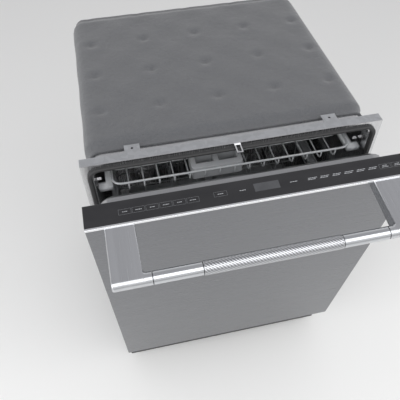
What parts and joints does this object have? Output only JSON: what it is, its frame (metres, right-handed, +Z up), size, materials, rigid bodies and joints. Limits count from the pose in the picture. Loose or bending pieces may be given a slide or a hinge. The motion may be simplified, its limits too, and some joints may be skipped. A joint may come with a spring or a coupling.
{
  "type": "dishwasher",
  "caption": "Built-in dishwasher with a brushed drop-down door, a bar handle on flat arms, a black top control strip, sliding racks, spray arms and water parts in a base.",
  "frame": {"origin": "middle of the floor area, on the floor under the feet", "axes": "+Z up, +X to the right seen from the front, +Y from the door towards the wall"},
  "size_m": [0.606, 0.815, 0.8635],
  "materials": {
    "door_steel": "horizontally brushed",
    "handle_steel": "fine brushed",
    "bright_trim": "polished",
    "inner_steel": "fine satin",
    "zinc_steel": "galvanised",
    "black_gloss": "glossy",
    "window_glass": "dark glass",
    "board_green": "printed circuit",
    "black_rubber": "matte",
    "blanket_felt": "bitumen-backed felt",
    "lamp_lens": "clear",
    "dark_plastic": "moulded",
    "grey_plastic": "moulded",
    "light_plastic": "moulded",
    "motor_paint": "satin",
    "kick_black": "satin black",
    "rack_coat": "coated wire",
    "heater_steel": "heat-tinted"
  },
  "bodies": {
    "cabinet": {"tub": "inner_steel", "front_frame": "zinc_steel", "door_gasket": "black_rubber", "insulation_blanket": "blanket_felt", "water_chamber": "light_plastic", "base_pan": "dark_plastic", "levelling_feet": "zinc_steel", "kick_plate": "kick_black", "balance_springs": "zinc_steel", "hinge_brackets": "zinc_steel", "door_strike": "bright_trim", "sump": "grey_plastic", "filter_plate": "inner_steel", "circulation_pump": "motor_paint", "drain_pump": "dark_plastic", "internal_pipes": "grey_plastic", "heating_element": "heater_steel", "inlet_valve": "light_plastic", "junction_box": "zinc_steel", "feed_tube": "grey_plastic", "interior_lamps": "lamp_lens", "fixed_rails": "inner_steel"},
    "door": {"door_panel": "door_steel", "edge_trim": "bright_trim", "control_strip": "black_gloss", "display_window": "window_glass", "control_board": "board_green", "door_liner": "inner_steel", "dispenser_body": "grey_plastic", "door_vent": "grey_plastic", "sound_pad": "blanket_felt", "latch_body": "dark_plastic", "handle_arm_left": "handle_steel", "handle_arm_right": "handle_steel", "handle_sleeves": "handle_steel", "handle_grip": "handle_steel", "handle_rings": "dark_plastic", "handle_screws": "zinc_steel", "hinge_arms": "zinc_steel", "bottom_seal": "black_rubber"},
    "lower_rack_body": {"lower_rack": "rack_coat"},
    "upper_rack_body": {"upper_rack": "rack_coat", "upper_feed_pipe": "grey_plastic"},
    "tray_body": {"cutlery_tray": "rack_coat", "tray_handle": "grey_plastic"},
    "filter_cup_body": {"filter_cup": "grey_plastic"},
    "overfill_float_body": {"overfill_float": "light_plastic"},
    "lower_spray_arm_body": {"lower_spray_arm": "grey_plastic"},
    "top_spray_arm_body": {"top_spray_arm": "grey_plastic"},
    "dispenser_lid_body": {"dispenser_lid": "dark_plastic"},
    "rinse_cap_body": {"rinse_cap": "dark_plastic"},
    "latch_hook_body": {"latch_hook": "zinc_steel"},
    "fold_tines_body": {"fold_tines": "rack_coat"},
    "cutlery_basket_body": {"cutlery_basket": "grey_plastic"},
    "front_wheels_body": {"front_wheels": "grey_plastic"},
    "rear_wheels_body": {"rear_wheels": "grey_plastic"},
    "upper_spray_arm_body": {"upper_spray_arm": "grey_plastic"},
    "upper_rail_members_body": {"upper_rail_members": "inner_steel"},
    "tray_rail_members_body": {"tray_rail_members": "inner_steel"}
  },
  "joints": [
    {"name": "door_hinge", "type": "hinge", "parent": "cabinet", "child": "door", "pos_m": [0, -0.183, 0.162], "axis": [1, 0, 0], "range_deg": [-7, 83], "stiffness_Nm_per_rad": 25, "springref_deg": -11.46},
    {"name": "lower_rack_slide", "type": "slide", "parent": "cabinet", "child": "lower_rack_body", "axis": [0, -1, 0], "range_m": [-0.0072, 0.0802]},
    {"name": "upper_members_slide", "type": "slide", "parent": "cabinet", "child": "upper_rail_members_body", "axis": [0, -1, 0], "range_m": [-0.018, 0.2084]},
    {"name": "upper_rack_slide", "type": "slide", "parent": "cabinet", "child": "upper_rack_body", "axis": [0, -1, 0], "range_m": [-0.0356, 0.4163]},
    {"name": "tray_members_slide", "type": "slide", "parent": "cabinet", "child": "tray_rail_members_body", "axis": [0, -1, 0], "range_m": [-0.0164, 0.1888]},
    {"name": "tray_slide", "type": "slide", "parent": "cabinet", "child": "tray_body", "axis": [0, -1, 0], "range_m": [-0.0323, 0.3771]},
    {"name": "front_wheels_roll", "type": "hinge", "parent": "lower_rack_body", "child": "front_wheels_body", "pos_m": [0, -0.06772, 0.2323], "axis": [1, 0, 0], "range_deg": [-25, 270]},
    {"name": "rear_wheels_roll", "type": "hinge", "parent": "lower_rack_body", "child": "rear_wheels_body", "pos_m": [0, 0.29828, 0.2323], "axis": [1, 0, 0], "range_deg": [-25, 270]},
    {"name": "latch_hook_turn", "type": "hinge", "parent": "door", "child": "latch_hook_body", "pos_m": [0, -0.25394, 0.84646], "axis": [1, 0, 0], "range_deg": [-70, 0]},
    {"name": "dispenser_lid_slide", "type": "slide", "parent": "door", "child": "dispenser_lid_body", "axis": [1, 0, 0], "range_m": [0, 0.072]},
    {"name": "rinse_cap_turn", "type": "hinge", "parent": "door", "child": "rinse_cap_body", "pos_m": [0.03, -0.18983, 0.66895], "axis": [0, 0.9925, 0.1219], "range_deg": [0, 90]},
    {"name": "filter_cup_turn", "type": "hinge", "parent": "cabinet", "child": "filter_cup_body", "pos_m": [0, 0.049, 0.15], "axis": [0, 0, 1], "range_deg": [0, 90]},
    {"name": "float_rise", "type": "slide", "parent": "cabinet", "child": "overfill_float_body", "axis": [0, 0, 1], "range_m": [0, 0.012]},
    {"name": "lower_arm_spin", "type": "hinge", "parent": "cabinet", "child": "lower_spray_arm_body", "pos_m": [0, 0.129, 0.2], "axis": [0, 0, 1], "continuous": true},
    {"name": "top_arm_spin", "type": "hinge", "parent": "cabinet", "child": "top_spray_arm_body", "pos_m": [0, 0.129, 0.822], "axis": [0, 0, 1], "continuous": true},
    {"name": "upper_arm_spin", "type": "hinge", "parent": "upper_rack_body", "child": "upper_spray_arm_body", "pos_m": [0, 0.09394, 0.495], "axis": [0, 0, 1], "continuous": true},
    {"name": "basket_lift", "type": "slide", "parent": "lower_rack_body", "child": "cutlery_basket_body", "axis": [0, 0, 1], "range_m": [0, 0.1]},
    {"name": "fold_tines_turn", "type": "hinge", "parent": "lower_rack_body", "child": "fold_tines_body", "pos_m": [0, 0.12328, 0.2341], "axis": [1, 0, 0], "range_deg": [0, 80]}
  ],
  "couplings": [
    {"joint": "lower_rack_slide", "follows": "door_hinge", "m_per_rad": 0.055},
    {"joint": "upper_members_slide", "follows": "door_hinge", "m_per_rad": 0.1435},
    {"joint": "upper_rack_slide", "follows": "door_hinge", "m_per_rad": 0.287},
    {"joint": "tray_members_slide", "follows": "door_hinge", "m_per_rad": 0.13},
    {"joint": "tray_slide", "follows": "door_hinge", "m_per_rad": 0.26},
    {"joint": "front_wheels_roll", "follows": "door_hinge", "ratio": 3.2353},
    {"joint": "rear_wheels_roll", "follows": "door_hinge", "ratio": 3.2353}
  ]
}
